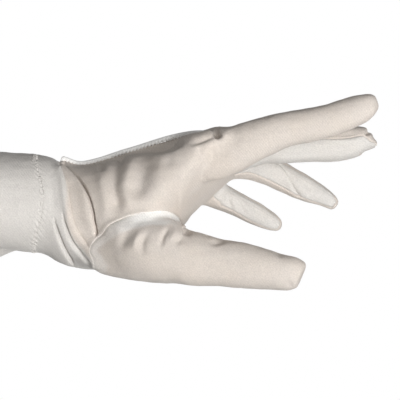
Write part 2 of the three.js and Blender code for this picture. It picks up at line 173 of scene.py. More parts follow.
# Soft folds of the cloth, by their side (the thumb's or the little finger's) and limb. Columns: the path
# of (x, z) points, the rise (inwards is negative) and the half-width.
NEAR, FAR = -1, 1
FOLDS = {
    (NEAR, "hand"): [
        ([(33.5, 20), (37.5, 9.5), (39.5, -3), (42.5, -14)], 1.0, 1.9),
        ([(31, 14), (33, 2), (33.5, -8)], -0.5, 1.8),
        ([(46, 9), (49.6, 0), (51, -10), (52, -18)], 0.5, 2.6),
        ([(57, 16), (60.5, 2), (60, -12)], 0.9, 3.0),
        ([(57.5, 19), (59.5, 14.5)], -1.2, 1.6),
        ([(70.4, 25.6), (67, 19), (65, 11), (65.2, 3), (68.6, -8)], -2.5, 3.3),
        ([(70, 24.4), (66.8, 20.6)], -1.7, 1.6),
        ([(76.4, 23), (73.4, 15), (71.6, 6), (73.4, -5)], 0.9, 2.6),
        ([(83.5, 25.4), (79.6, 14), (77.4, -1)], -2.6, 5.7),
        ([(78, 26), (86, 28.6), (94, 30.6), (102, 32)], -2.2, 3.2),
        ([(84, 26), (92, 28.4), (97.4, 29.6), (102, 30.6)], -3.2, 2.7),
        ([(97, 27), (94.6, 21), (93.4, 15)], -0.9, 3.4),
        ([(110, 28.5), (111.4, 20)], -0.9, 1.6),
        ([(116.4, 28), (117.6, 21)], -0.7, 1.6),
        ([(104, 28.8), (111, 30.8), (118.5, 33.6)], -1.7, 1.7),
        ([(117, 34), (121.4, 36.6)], -10.0, 2.8),
    ],
    (NEAR, "thumb"): [
        ([(75.2, -14.6), (70.6, -20.4), (67.4, -27)], -1.7, 3.0),
        ([(81.4, -15.6), (76.8, -21.4), (75.4, -28)], 1.0, 1.9),
        ([(84.6, -16.4), (80.4, -22.6), (81, -30)], -0.9, 1.8),
        ([(94.6, -14.2), (91.2, -19.4), (90, -25.6)], -1.7, 1.4),
        ([(97.6, -15.8), (95, -22)], 0.6, 1.3),
        ([(101.4, -18.6), (98, -24)], -1.2, 1.9),
        ([(100.8, -16), (107, -16.6)], -2.8, 2.0),
        ([(115, -23), (120, -22.4), (126, -20.6)], -1.3, 1.6),
        ([(149.6, -26.6), (153.8, -30.4)], -0.9, 1.4),
        ([(155.6, -42.4), (158.6, -46.6)], -0.9, 1.6),
        ([(59, -12), (56, -26), (57, -36), (66, -54)], -4.6, 12.0),
        ([(72, -13.4), (80, -11.8), (88, -11.2), (95, -12.4)], -0.8, 2.4),
    ],
    (FAR, "thumb"): [
        ([(100.8, -16), (107, -16.6)], -2.8, 2.0),
    ],
    (NEAR, "ring"): [
        ([(135, 17), (141, 15.5)], -0.5, 1.2),
        ([(163, 10), (168.5, 5.6), (171, 2)], -0.9, 2.2),
        ([(160, 12), (164, 5), (167, 2)], 0.5, 1.6),
    ],
    (NEAR, "little"): [
        ([(125, 3), (126.4, -2), (128.4, -7)], -0.9, 1.0),
        ([(129, 1.6), (131.4, -2.6), (136, -8.6)], -1.0, 1.2),
        ([(133, 1), (139, -5), (145, -10)], -0.7, 2.0),
    ],
    (NEAR, "middle"): [
        ([(150, 25), (165, 24.5), (180, 25.5)], -0.6, 2.4),
        ([(182, 34), (190, 34.4), (196, 35)], -0.9, 1.9),
        ([(202, 39.6), (198.2, 33)], -2.6, 1.3),
        ([(176, 31.4), (184, 30.6), (191, 31), (198, 33)], 0.5, 1.0),
    ],
    (FAR, "middle"): [
        ([(202, 39.6), (198.2, 33)], -2.6, 1.3),
    ],
    (FAR, "hand"): [
        ([(36, 18), (41, 4), (45, -12), (46, -26)], 1.3, 2.6),
        ([(58, 16), (62, 2), (60, -14)], -1.2, 3.0),
        ([(72, 18), (75, 2), (72, -12)], -1.0, 3.4),
    ],
}

# From these half-widths on, a fold of the thumb is broad and leaves the thumb's seam as it is, or a
# hollow, which takes the seam along. A broad fold sets in at these distances from the seam.
BROAD_FOLD, HOLLOW = 2.5, 6.0
FOLD_OFF_SEAM = (0.5, 7.0)

# How far the cloth has to face a fold's side, as the Y of its normal, for the fold to begin and to be
# full. A fold's ends fade over a set length, or over a share of a short fold. The fade is reckoned from
# a share of that before the path's start, so that the fold isn't quite flat there.
FOLD_FACES, HOLLOW_FACES = (-0.1, 0.2), (-0.1, 0.8)
FOLD_END, FOLD_END_SHARE, FOLD_PAST_END = 7.0, 0.45, 0.25

# Sharp creases, where one roll of cloth laps over the next. Columns: the side, the limb, the path from
# top to bottom, over what length it begins and ends, how high the left side stands, how far the right
# side drops, how deep the slit is, and how wide the rolls are.
CREASES = [
    (NEAR, "hand",
     [(37.6, 19.6), (41.8, 16.2), (47.2, 10.5), (50.9, 4.1), (53.4, -3.9), (54.5, -12), (52.8, -19.6)],
     (1.5, 3.5), 1.0, 0.9, 3.8, 3.2),
    (NEAR, "hand", [(33.4, -8.4), (34.8, -14), (37.4, -22.2), (40.2, -29.2), (44.4, -36)],
     (9, 4), 0.9, 0.7, 2.4, 2.8),
    (NEAR, "hand", [(38, -5.5), (39.9, -14), (42.6, -22.4), (46.2, -29.8), (53.2, -37.2)],
     (9, 4), 0.9, 0.5, 2.2, 2.6),
    (NEAR, "hand",
     [(34.6, 19.6), (38.6, 13.6), (41, 5.6), (42.2, -3), (43.8, -11.4), (47, -20.6), (50.8, -27.6)],
     (4, 6), 0.8, 0.7, 0.3, 2.6),
    (NEAR, "ring", [(151.4, 19.6), (156.3, 14.4), (159, 8.3), (161, 4.3), (164.6, 0.4)],
     (2, 4), 0.5, 0.6, 0.5, 2.2),
    (FAR, "hand", [(38, 18), (45, 6), (50, -8), (49, -24)], (4, 6), 0.8, 0.8, 1.2, 3.0),
    (FAR, "hand", [(34, 6), (39, -8), (42, -26)], (4, 6), 0.7, 0.6, 1.0, 2.6),
]
CREASE_NAMES = [f"crease_{number}" for number in range(len(CREASES))]
SLIT_HALF_WIDTH = 0.42
ROLL_SWELL, ROLL_EDGE = 2.2, 1.8
CREASE_FACES = (-0.05, 0.25)

# The mesh is split along each crease and beside it, at these distances, where the ends of the split
# edge are no further off than this. Where the crease shows less than the last share, its distance
# counts as far away.
CREASE_CUTS = (-0.3, 0.0, 0.3)
CREASE_REACH = 2.5
FAR_AWAY, CREASE_SHOWS = 99.0, 0.01

# The back's highest line, as (x, z) points of the tuck that runs along it, and how deep the gutter
# below the tuck is, as (x, depth) points.
TUCK_TOP = [
    (35.9, 20.6), (37.8, 22.6), (40.7, 21.9), (44.2, 20.6), (47.4, 20.1), (50.5, 20.5), (56.8, 22),
    (63.2, 24.1), (69.5, 26.2), (75.8, 28), (82.1, 30), (88.4, 32), (94.7, 33.8), (101, 35.2),
    (107.4, 36.1), (113.7, 36.3), (119, 37.6),
]
TUCK_START, TUCK_END = TUCK_TOP[0][0], TUCK_TOP[-1][0]

# The back is lifted like a tent to the tuck's seat, which lies this far under its top. The gutter lies
# this far from the highest line, towards the thumb.
TUCK_SEAT = 1.9
TENT = {
    "half_width": 4.2, "sharpness": 1.6, "x": (30.0, 124.0), "begins": (33, 38), "ends": (114, 119),
    "faces_up": 0.2, "top_half_width": 1.5,
}
GUTTER = [
    (38, 0), (44, 0.2), (58, 0.4), (72, 1.2), (84, 2.1), (97, 2.7), (106, 1.8), (114, 1.8), (118, 0.6),
]
GUTTER_PLACE, GUTTER_HALF_WIDTH = 4.6, 2.3

# The cloth is whiter on the cuff's side of this line, and in a band inside the thumb's seam whose
# width is given by (x, width) points.
WHITE_LINE = [
    (34, 24), (38.6, 13.6), (40.8, 5.6), (40.4, -5), (41.4, -14.6), (44.6, -23), (50, -31), (56, -39),
]
THUMB_BAND = [(52, 4.0), (57, 5.4), (66, 6.6), (80, 7.2), (92, 7.2), (97, 4.4), (99.5, 1.8), (101, -0.8)]

# How softly the white ends at the line and at the band's edge, how uneven that edge is (height, spacing,
# how many waves and the seed), and how weak the band is at the wrist and up to where.
WHITE_LINE_EDGE = (-1.6, 1.2)
BAND_EDGE, BAND_PAST_SEAM, BAND_FACES = (-1.8, 0.8), 0.2, (-0.1, 0.25)
BAND_UNEVEN = (0.2, 9, 8, 21)
BAND_AT_WRIST = {"strength": 0.35, "x": (62, 82)}

# The far lower corner of the mouth flares outwards: between which angles round the wrist, how far
# along it and how high, up to how many times that past the mouth, with a groove and fine lines.
FLARE = {"length": 14.5, "rise": 9, "most": 1.3, "starts": (-1.6, -1.22), "ends": (-1.1, -0.3)}
FLARE_GROOVE = {"angle": -1.6, "half_width": 0.06, "depth": 1.2}
FLARE_LINES = {"height": 0.12, "per_turn": 26, "slant": 0.5, "spacing": 1.5}

# Soft ripples all over. Columns: height, spacing, how many waves, and the seed.
RIPPLES = [(0.17, 24, 9, 3), (0.08, 8, 12, 5)]

# How the cloth lies beside its seams. Columns: rise, distance from the seam, half-width.
TRANK_LIP = (0.26, 0.8, 0.75)
STRIP_LIP = (0.16, 0.6, 0.45)
STRIP_EDGE = (-0.36, 0, 0.35)
HEM_EDGE = (-0.12, 0, 0.8)
THUMB_EDGE = {"rise": -0.6, "half_width": 0.8, "sharpness": 1.2}

# The puckers beside the thumb's seam: their spacing, waves and seed, their height on each piece, and a
# second row of them further in on the thumb. The seam is flatter low down.
PUCKERS = (3.2, 10, 11)
TRANK_PUCKER = 0.04
THUMB_PUCKER = 0.05
SECOND_PUCKERS = (3.0, 1.6)
FLATTER_SEAM = {"least": 0.35, "z": (-26, -16)}

# The step at the hem's edge, and how its zigzag stitches pull the cloth.
HEM_STEP = (-3.0, 1.0)
HEM_RADIUS = 28
HEM_PULL = {"height": 0.3, "slant": 0.8, "half_width": 2.2}

# The hem's zigzag line, the thumb's oval seam, and where its plain seam runs down the palm.
HEM_LINE = [(22.5, 40), (23.5, 22), (27.3, 8.4), (28.3, 0), (26.7, -11), (23, -24), (21, -45)]
THUMB_SEAM = [
    (55.4, -39), (51, -31.4), (49.9, -27), (53, -20.3), (60.7, -14.3), (72.6, -8.9),
    (88.9, -6.4), (95.4, -7.3), (99.2, -9.6), (100.8, -12.2), (102.2, -14.6),
]
THUMB_BEYOND = [(108, -12.5), (176, -12.5), (176, -62), (56, -62)]
THUMB_SEAM_DEPTH = -8

# Side strips: how low their palm seam runs at the finger's base and at its tip and how high their back
# seam, as shares of a finger's half-depth, on each finger's side towards the thumb and on its other
# side. The base is up to a finger's third row. Each strip ends half a row before the fingertip,
# narrows by a share over its last rows, keeps a little off the finger's middle, and stays on cloth near
# its own finger. A row counts as 6 mm long.
STRIP_TOWARDS_THUMB = {"middle": (-1.5, -1.5, 0.3), "ring": (-0.5, -0.84, 0.9), "little": (-0.56, -0.82, 0.9)}
STRIP_OTHER_SIDE = (-0.66, -0.66, 0.66)
STRIP = {
    "base": 2.0, "before_tip": 0.5, "narrows": 0.2, "last_rows": 1.2, "off_middle": 0.05, "near": 1.3,
    "row": 6,
}

# The fingers that each strip lies between, and the round patch that joins its two arms at their crotch:
# its middle (x, y, z) and its height, and the length and width of all patches.
PATCH = {"length": 7, "width": 5.5}
FORKS = {
    f"fourchette_{near}_{far}": {"near": near, "far": far, "at": at, "rise": rise}
    for near, far, at, rise in [
        ("index", "middle", (133, -17.5, 27), 9),
        ("middle", "ring", (130, 2, 22.5), 9.5),
        ("ring", "little", (122, 20.7, 9.5), 10.5),
    ]
}


# Smooth values between a limb's rows, and the directions of its sections

def row_values(rows, places):
    last = len(rows) - 1
    index = np.clip(np.floor(places).astype(int), 0, last - 1)
    share = (places - index)[:, None]
    a, b, c, d = (rows[np.clip(index + step, 0, last)] for step in (-1, 0, 1, 2))
    square, cube = share**2, share**3
    return (
        (2 * cube - 3 * square + 1) * b
        + (cube - 2 * square + share) * (c - a) / 2
        + (3 * square - 2 * cube) * c
        + (cube - square) * (d - b) / 2
    )


def unit(vectors):
    return vectors / np.maximum(np.linalg.norm(vectors, axis=-1, keepdims=True), 1e-9)


def sections(body, places):
    """The row values of a limb's ovals at some places, and their side and up directions."""
    rows = body["rows"]
    last = len(rows) - 1
    values = row_values(rows, places)
    step = 0.05
    if body["upright"]:
        along = np.tile([1.0, 0.0, 0.0], (len(places), 1))
    else:
        ahead = row_values(rows, np.minimum(places + step, last))
        behind = row_values(rows, np.maximum(places - step, 0))
        along = unit(ahead[:, :3] - behind[:, :3])
    side = unit(np.array([0.0, 1.0, 0.0]) - along * along[:, 1:2])
    up = np.cross(along, side)
    roll = np.radians(values[:, ROLL])[:, None]
    turned_side = side * np.cos(roll) - up * np.sin(roll)
    turned_up = side * np.sin(roll) + up * np.cos(roll)
    return values, turned_side, turned_up


def ring_faces(rings, around, start=0):
    """Four-sided faces between rings of points."""
    faces = []
    for ring in range(rings - 1):
        for k in range(around):
            a, b = start + ring * around + k, start + ring * around + (k + 1) % around
            faces.append((a, b, b + around, a + around))
    return faces


def tube_faces(rings, around, start=0):
    """Faces of a tube of rings, with its two flat ends."""
    end = start + (rings - 1) * around
    ends = [tuple(start + k for k in reversed(range(around))), tuple(end + k for k in range(around))]
    return ring_faces(rings, around, start) + ends


def oval(angles, squareness):
    """How far across and over a squarish oval its rim is, in half-widths and half-depths."""
    power = 2 / squareness
    across, over = np.cos(angles), np.sin(angles)
    return np.sign(across) * np.abs(across) ** power, np.sign(over) * np.abs(over) ** power


def loft(body, around, rings):
    """Points and faces of a closed limb."""
    last = len(body["rows"]) - 1
    places = np.linspace(0, last, rings)
    values, side, up = sections(body, places)
    angles = np.arange(around) * 2 * math.pi / around
    across, over = oval(angles, body["squareness"])
    wide = values[:, WIDE, None, None]
    deep = values[:, DEEP, None, None]
    centres = values[:, None, :3]
    rim = (
        centres
        + side[:, None, :] * across[None, :, None] * wide
        + up[:, None, :] * over[None, :, None] * deep
    )
    points = np.concatenate([rim.reshape(-1, 3), values[:1, :3], values[-1:, :3]])
    faces = ring_faces(rings, around)
    first, end = rings * around, rings * around + 1
    for i in range(around):
        j = (i + 1) % around
        faces.append((first, j, i))
        faces.append((end, (rings - 1) * around + i, (rings - 1) * around + j))
    return points, faces


# Meshes as arrays

def make_object(name, points, faces):
    mesh = bpy.data.meshes.new(name)
    whole_faces = [tuple(int(i) for i in face) for face in faces]
    mesh.from_pydata((np.asarray(points) * MM).tolist(), [], whole_faces)
    mesh.update()
    thing = bpy.data.objects.new(name, mesh)
    bpy.context.scene.collection.objects.link(thing)
    return thing


def joined(lofts):
    points, faces, start = [], [], 0
    for some_points, some_faces in lofts:
        points.append(some_points)
        faces.extend(tuple(i + start for i in face) for face in some_faces)
        start += len(some_points)
    return np.concatenate(points), faces


def evaluated_arrays(thing):
    """A mesh's points in millimetres and its triangles, after its modifiers."""
    graph = bpy.context.evaluated_depsgraph_get()
    final = thing.evaluated_get(graph)
    mesh = final.to_mesh()
    mesh.calc_loop_triangles()
    points = np.empty(len(mesh.vertices) * 3)
    mesh.vertices.foreach_get("co", points)
    triangles = np.empty(len(mesh.loop_triangles) * 3, dtype=np.int32)
    mesh.loop_triangles.foreach_get("vertices", triangles)
    final.to_mesh_clear()
    return points.reshape(-1, 3) / MM, triangles.reshape(-1, 3)


def remeshed(name, lofts, voxel, subdivisions):
    """One outer skin round some overlapping closed bodies."""
    thing = make_object(name, *joined(lofts))
    remesh = thing.modifiers.new("remesh", "REMESH")
    remesh.mode = "VOXEL"
    remesh.voxel_size = voxel * MM
    remesh.use_smooth_shade = True
    if subdivisions:
        finer = thing.modifiers.new("finer", "SUBSURF")
        finer.levels = subdivisions
        finer.render_levels = subdivisions
    points, triangles = evaluated_arrays(thing)
    bpy.data.objects.remove(thing)
    return points, triangles


def sides_of(triangles):
    """The three directed sides of every triangle."""
    return np.concatenate([triangles[:, [0, 1]], triangles[:, [1, 2]], triangles[:, [2, 0]]])


def edges_of(triangles):
    return np.unique(np.sort(sides_of(triangles), axis=1), axis=0)


def relaxed(points, triangles, rounds, weight, amount=0.5):
    """Moves points towards the mean of their neighbours, by a weight for each."""
    edges = edges_of(triangles)
    count = len(points)
    first = np.concatenate([edges[:, 0], edges[:, 1]])
    second = np.concatenate([edges[:, 1], edges[:, 0]])
    degree = np.maximum(np.bincount(first, minlength=count), 1)[:, None]
    for _ in range(rounds):
        mean = np.stack([np.bincount(first, points[second, k], count) for k in range(3)], axis=1) / degree
        points = points + (mean - points) * amount * weight[:, None]
    return points


def normals_of(points, triangles):
    corners = points[triangles]
    face_normals = np.cross(corners[:, 1] - corners[:, 0], corners[:, 2] - corners[:, 0])
    total = np.zeros_like(points)
    for corner in range(3):
        for axis in range(3):
            total[:, axis] += np.bincount(triangles[:, corner], face_normals[:, axis], len(points))
    return unit(total)


# Where each point of the cloth lies on a limb

SAMPLES_PER_ROW = 12
POINTS_AT_ONCE = 20000
HAND_FIRST = 0.03


def on_limb(body, points):
    """Place along the limb, and how far across and over its oval, in half-widths and half-depths."""
    rows = body["rows"]
    last = len(rows) - 1
    places = np.linspace(0, last, SAMPLES_PER_ROW * last + 1)
    values, side, up = sections(body, places)
    if body["upright"]:
        nearest = np.interp(points[:, X], values[:, X], np.arange(len(places)))
        nearest = np.round(nearest).astype(int)
    else:
        nearest = np.empty(len(points), dtype=int)
        for start in range(0, len(points), POINTS_AT_ONCE):
            block = points[start : start + POINTS_AT_ONCE]
            away = ((block[:, None, :] - values[None, :, :3]) ** 2).sum(axis=2)
            nearest[start : start + POINTS_AT_ONCE] = away.argmin(axis=1)
    offset = points - values[nearest, :3]
    across = (offset * side[nearest]).sum(axis=1) / values[nearest, WIDE]
    over = (offset * up[nearest]).sum(axis=1) / values[nearest, DEEP]
    square = body["squareness"]
    reach = (np.abs(across) ** square + np.abs(over) ** square) ** (1 / square)
    return {
        "place": places[nearest],
        "across": across,
        "over": over,
        "reach": reach,
        "wide": values[nearest, WIDE],
        "deep": values[nearest, DEEP],
    }


def smooth_step(values, low, high):
    share = np.clip((values - low) / (high - low), 0, 1)
    return share * share * (3 - 2 * share)


def smooth_path(points, steps=40):
    rows = np.array(points, float)
    return row_values(rows, np.linspace(0, len(rows) - 1, steps))


def along_path(x, z, path):
    """Distance to a path in the X-Z plane, and how far along it the nearest point is."""
    best = np.full(len(x), np.inf)
    where = np.zeros(len(x))
    travelled = 0.0
    for (x0, z0), (x1, z1) in zip(path[:-1], path[1:]):
        length = math.hypot(x1 - x0, z1 - z0)
        share = np.clip(((x - x0) * (x1 - x0) + (z - z0) * (z1 - z0)) / length**2, 0, 1)
        away = np.hypot(x - x0 - share * (x1 - x0), z - z0 - share * (z1 - z0))
        closer = away < best
        best[closer] = away[closer]
        where[closer] = travelled + share[closer] * length
        travelled += length
    return best, where


def signed_distance(x, z, outline):
    """Distance to a closed outline, negative inside."""
    closed = np.vstack([outline, outline[:1]])
    away, _ = along_path(x, z, closed)
    inside = np.zeros(len(x), dtype=bool)
    for (x0, z0), (x1, z1) in zip(closed[:-1], closed[1:]):
        crosses = (z0 > z) != (z1 > z)
        at = x0 + (z - z0) * (x1 - x0) / (z1 - z0 + 1e-12)
        inside ^= crosses & (x < at)
    return np.where(inside, -away, away)


def waves(points, spacing, count, seed):
    """Soft uneven ripples with a wavelength near spacing, from -1 to 1."""
    random = np.random.default_rng(seed)
    total = np.zeros(len(points))
    for _ in range(count):
        direction = unit(random.normal(size=3))
        wavelength = spacing * random.uniform(0.7, 1.5)
        total += np.sin(points @ direction * 2 * math.pi / wavelength + random.uniform(0, 2 * math.pi))
    return total / math.sqrt(count)


# The base form

def base_form():
    """One smooth skin round all the limbs, softened where two limbs meet."""
    lofts = [
        loft(body, POINTS_AROUND.get(name, POINTS_AROUND_FINGER), RINGS_PER_ROW * len(body["rows"]))
        for name, body in LIMBS.items()
    ]
    points, triangles = remeshed("form", lofts, VOXEL, 1)
    reaches = np.sort(np.stack([on_limb(body, points)["reach"] for body in LIMBS.values()]), axis=0)
    second_limb = reaches[1]
    between = 1 - smooth_step(second_limb, *BETWEEN_FADES)
    thumb_base = 1 - smooth_step(second_limb, *THUMB_BASE_FADES["reach"])
    thumb_base *= 1 - smooth_step(points[:, X], *THUMB_BASE_FADES["x"])
    points = relaxed(points, triangles, SMOOTH_ALL, np.ones(len(points)))
    points = relaxed(points, triangles, SMOOTH_BETWEEN, between)
    return relaxed(points, triangles, SMOOTH_THUMB_BASE, thumb_base), triangles


def nearest_limb(coordinates):
    """The name of the limb whose surface each point lies on, and the hand's where two are as near."""
    names = list(coordinates)
    reach = np.stack([np.abs(coordinates[name]["reach"] - 1) for name in names])
    reach[names.index("hand")] -= HAND_FIRST
    return np.array(names)[reach.argmin(axis=0)]


def fold_rise(points, normals, owners, from_thumb_seam):
    """How far the soft folds lift each point."""
    rise = np.zeros(len(points))
    off_seam = smooth_step(from_thumb_seam, *FOLD_OFF_SEAM)
    x, z = points[:, X], points[:, Z]
    folds = [(*key, *fold) for key, some in FOLDS.items() for fold in some]
    for side, owner, path, height, width in folds:
        facing = smooth_step(normals[:, Y] * side, *(FOLD_FACES if width < HOLLOW else HOLLOW_FACES))
        away, where = along_path(x, z, smooth_path(path, 24))
        length = np.hypot(*np.diff(np.array(path, float), axis=0).T).sum()
        end = min(FOLD_END_SHARE * length, FOLD_END)
        fade = smooth_step(where, -FOLD_PAST_END * end, end)
        fade *= 1 - smooth_step(where, length - end, length + FOLD_PAST_END * end)
        belongs = np.isin(owners, [owner, "hand", "index"] if owner == "hand" else [owner, "hand"])
        lift = height * np.exp(-((away / width) ** 2)) * facing * fade * belongs
        broad = owner == "thumb" and BROAD_FOLD < width < HOLLOW
        rise += lift * off_seam if broad else lift
    return rise


# Signed fields: negative on the cut-out piece, in millimetres from its seam

def beyond_line(points, line, steps=40):
    """How far along X each point is past a smooth line through some (x, z) points."""
    smooth = smooth_path(line, steps)
    order = np.argsort(smooth[:, 1])
    return points[:, X] - np.interp(points[:, Z], smooth[order, 1], smooth[order, 0])


def thumb_field(points):
    outline = np.vstack([smooth_path(THUMB_SEAM), THUMB_BEYOND])
    in_view = signed_distance(points[:, X], points[:, Z], outline)
    return np.maximum(in_view, points[:, Y] - THUMB_SEAM_DEPTH)


def strip_field(coordinates, name, direction, start_x, points):
    """Distance from the side strip on one finger, on the side that direction points to."""
    c = coordinates[name]
    last = len(LIMBS[name]["rows"]) - 1 - STRIP["before_tip"]
    low_base, low_tip, high = STRIP_TOWARDS_THUMB[name] if direction < 0 else STRIP_OTHER_SIDE
    low = low_base + (low_tip - low_base) * smooth_step(c["place"], STRIP["base"], last - 1)
    taper = 1 - STRIP["narrows"] * smooth_step(c["place"], last - STRIP["last_rows"], last)
    height = np.maximum(c["over"] - high * taper, low * taper - c["over"]) * c["deep"]
    inwards = (STRIP["off_middle"] - c["across"] * direction) * c["wide"]
    behind = start_x - points[:, X]
    beyond = (c["place"] - last) * STRIP["row"]
    elsewhere = (c["reach"] - STRIP["near"] - smooth_step(c["place"], last - 3, last - 2)) * c["deep"]
    return np.max([height, inwards, behind, beyond, elsewhere], axis=0)


def fork_field(coordinates, fork, points):
    at = np.array(fork["at"], float)
    radii = np.array([PATCH["length"], PATCH["width"], fork["rise"]])
    patch = (np.linalg.norm((points - at) / radii, axis=1) - 1) * PATCH["width"]
    on_near = strip_field(coordinates, fork["near"], 1, at[0], points)
    on_far = strip_field(coordinates, fork["far"], -1, at[0], points)
    return -np.logaddexp.reduce([-patch, -on_near, -on_far], axis=0)


# A cut stays this share of an edge's length off its ends, so that it leaves no slivers.
LEAST_SHARE = 0.06


def cut(points, triangles, values, key, level=0.0, reach=np.inf):
    """Splits the edges that cross a level of one field, where the field is no further off than reach."""
    field = values[key] - level
    field = np.where(np.abs(field) < 1e-3, 1e-3, field)
    pairs = np.stack([triangles, np.roll(triangles, -1, axis=1)], axis=2).reshape(-1, 2)
    keys = np.sort(pairs, axis=1)
    crossing = (field[keys[:, 0]] > 0) != (field[keys[:, 1]] > 0)
    crossing &= np.abs(field[keys]).max(axis=1) < reach
    unique, where = np.unique(keys[crossing], axis=0, return_inverse=True)
    low, high = unique[:, 0], unique[:, 1]
    share = np.clip(field[low] / (field[low] - field[high]), LEAST_SHARE, 1 - LEAST_SHARE)
    for name, column in values.items():
        fresh = column[low] * (1 - share) + column[high] * share
        values[name] = np.concatenate([column, np.full(len(fresh), level) if name == key else fresh])
    middle = np.full(len(pairs), -1)
    middle[crossing] = where.reshape(-1) + len(points)
    middle = middle.reshape(-1, 3)
    new_points = points[low] * (1 - share)[:, None] + points[high] * share[:, None]
    split = middle >= 0
    count = split.sum(axis=1)
    kept = triangles[count == 0]
    one, two = np.flatnonzero(count == 1), np.flatnonzero(count == 2)
    turn = split[one].argmax(axis=1)
    a, b, c = (triangles[one, (turn + step) % 3] for step in range(3))
    on_ab = middle[one, turn]
    halves = [np.stack([a, on_ab, c], 1), np.stack([on_ab, b, c], 1)]
    turn = ((~split[two]).argmax(axis=1) + 2) % 3
    a, b, c = (triangles[two, (turn + step) % 3] for step in range(3))
    on_ab, on_ca = middle[two, turn], middle[two, (turn + 2) % 3]
    thirds = [np.stack([a, on_ab, on_ca], 1), np.stack([on_ab, b, c], 1), np.stack([on_ab, c, on_ca], 1)]
    return np.concatenate([points, new_points]), np.concatenate([kept, *halves, *thirds])


def inside_of(values, key, triangles):
    return values[key][triangles].sum(axis=1) < 0


# The cloth with its folds, and its pieces

# The columns that hold each point's normal.
NORMAL = ("normal_x", "normal_y", "normal_z")


def table_at(x, table):
    columns = np.array(table, float)
    return np.interp(x, columns[:, 0], columns[:, 1])


def ridge(distance, middle, width):
    """A smooth bump, one high, round a middle."""
    return np.exp(-(((distance - middle) / width) ** 2))


def flare_rise(coordinates, points):
    """The flap under the cuff, set off from it by a groove and with fine lines of stitching."""
    angle = np.arctan2(coordinates["over"], coordinates["across"])
    share = np.clip(1 - points[:, X] / FLARE["length"], 0, FLARE["most"])
    flap = smooth_step(angle, *FLARE["starts"]) * (1 - smooth_step(angle, *FLARE["ends"]))
    groove = ridge(angle, FLARE_GROOVE["angle"], FLARE_GROOVE["half_width"])
    phase = (angle * FLARE_LINES["per_turn"] - points[:, X] * FLARE_LINES["slant"]) / FLARE_LINES["spacing"]
    lines = FLARE_LINES["height"] * np.sin(phase * 2 * math.pi)
    return share * ((FLARE["rise"] + lines) * flap - FLARE_GROOVE["depth"] * groove)


def crease_field(points, normals, belongs, side, path, ends):
    """Signed distance from a crease: negative on the cuff's side, far away past its ends."""
    line = smooth_path(path, 30)
    away, where = along_path(points[:, X], points[:, Z], line)
    sign = np.ones(len(points))
    nearest = np.full(len(points), np.inf)
    for (x0, z0), (x1, z1) in zip(line[:-1], line[1:]):
        middle = np.hypot(points[:, X] - (x0 + x1) / 2, points[:, Z] - (z0 + z1) / 2)
        closer = middle < nearest
        nearest[closer] = middle[closer]
        turn = (x1 - x0) * (points[:, Z] - z0) - (z1 - z0) * (points[:, X] - x0)
        sign[closer] = np.sign(turn[closer] + 1e-9)
    length = np.hypot(*np.diff(line, axis=0).T).sum()
    fade = smooth_step(where, 0.0, ends[0]) * (1 - smooth_step(where, length - ends[1], length))
    fade *= smooth_step(normals[:, Y] * side, *CREASE_FACES) * belongs
    field = np.where(fade > CREASE_SHOWS, away * sign, FAR_AWAY)
    return field, fade


def crease_rise(field, fade, lip, drop, slit, wide):
    """A roll that ends in a sharp lip, a slit, and a drop beyond it. The roll's factors make it lip high."""
    left, right = np.minimum(field, 0) / wide, np.maximum(field, 0) / wide
    roll = ROLL_SWELL * lip * np.exp(left) * (1 - np.exp(left * ROLL_EDGE))
    beside = np.where(field < 0, roll, -drop * np.exp(-right))
    return fade * (beside - slit * ridge(field, 0, SLIT_HALF_WIDTH))


def top_line(x):
    """How far across the hand its back is highest, at some places along X."""
    rows = HAND["rows"]
    places = np.interp(x, rows[:, X], np.arange(len(rows)))
    values, side, up = sections(HAND, places)
    angle = np.arctan2(values[:, DEEP] * up[:, Z], values[:, WIDE] * side[:, Z])
    across, over = oval(angle, HAND["squareness"])
    return values[:, Y] + side[:, Y] * (across * values[:, WIDE]) + up[:, Y] * (over * values[:, DEEP])


def tent_rise(points, normals):
    """Lifts the back under the tuck to the tuck's seat, and sinks the gutter beside it."""
    x, z = points[:, X], points[:, Z]
    along = np.arange(*TENT["x"], 1.0)
    middle = top_line(along)
    away = points[:, Y] - np.interp(x, along, middle)
    faces_up = normals[:, Z] > TENT["faces_up"]
    near_line = faces_up & (np.abs(away) < TENT["top_half_width"])
    highest = np.full(len(along), -np.inf)
    slot = np.clip(np.round(x - along[0]).astype(int), 0, len(along) - 1)
    np.maximum.at(highest, slot[near_line], z[near_line])
    known = np.isfinite(highest)
    surface = np.interp(along, along[known], highest[known])
    wanted = table_at(along, TUCK_TOP) - TUCK_SEAT - surface
    inside = smooth_step(x, *TENT["begins"]) * (1 - smooth_step(x, *TENT["ends"]))
    lift = np.interp(x, along, wanted) * np.exp(-np.abs(away / TENT["half_width"]) ** TENT["sharpness"])
    gutter = table_at(x, GUTTER) * ridge(away, -GUTTER_PLACE, GUTTER_HALF_WIDTH)
    return np.where(faces_up, (lift - gutter) * inside, 0.0)


def cuff_tone(points):
    """How near each point's colour is to the cuff's."""
    return 1 - smooth_step(beyond_line(points, WHITE_LINE, 30), *WHITE_LINE_EDGE)


def whiteness(points, normals, fields):
    """How near each point's colour is to the white band's."""
    height, *ripple = BAND_UNEVEN
    width = table_at(points[:, X], THUMB_BAND) + height * waves(points, *ripple)
    inside = -fields["thumb"]
    seen = smooth_step(-normals[:, Y], *BAND_FACES)
    weakest = BAND_AT_WRIST["strength"]
    strength = weakest + (1 - weakest) * smooth_step(points[:, X], *BAND_AT_WRIST["x"])
    edge = smooth_step(inside, width + BAND_EDGE[0], width + BAND_EDGE[1])
    return (1 - edge) * seen * strength * (inside > -BAND_PAST_SEAM)


